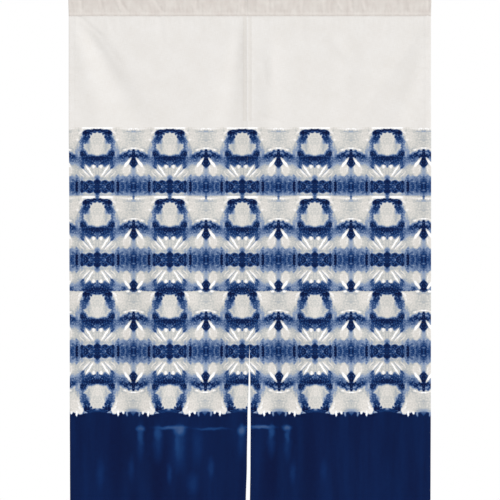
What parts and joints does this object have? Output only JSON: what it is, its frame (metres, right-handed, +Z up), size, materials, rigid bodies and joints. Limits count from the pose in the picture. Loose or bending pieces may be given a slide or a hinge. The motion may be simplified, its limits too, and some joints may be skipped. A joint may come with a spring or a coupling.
{
  "type": "split noren door curtain",
  "caption": "Split door curtain of hemmed cotton panels, seamed above a slit, hanging from a rod sleeve along its top edge.",
  "frame": {"origin": "middle of the top edge, in the mid plane of the rod sleeve", "axes": "+Z up along the drop, +X to the right of a viewer facing the front, -Y out of the front"},
  "size_m": [0.8518, 0.0187, 1.2],
  "materials": {
    "panel_cloth": "matte",
    "sleeve_cloth": "matte"
  },
  "bodies": {
    "root": {"heading_left": "sleeve_cloth", "heading_right": "sleeve_cloth", "panel_left": "panel_cloth", "panel_right": "panel_cloth"}
  },
  "joints": []
}
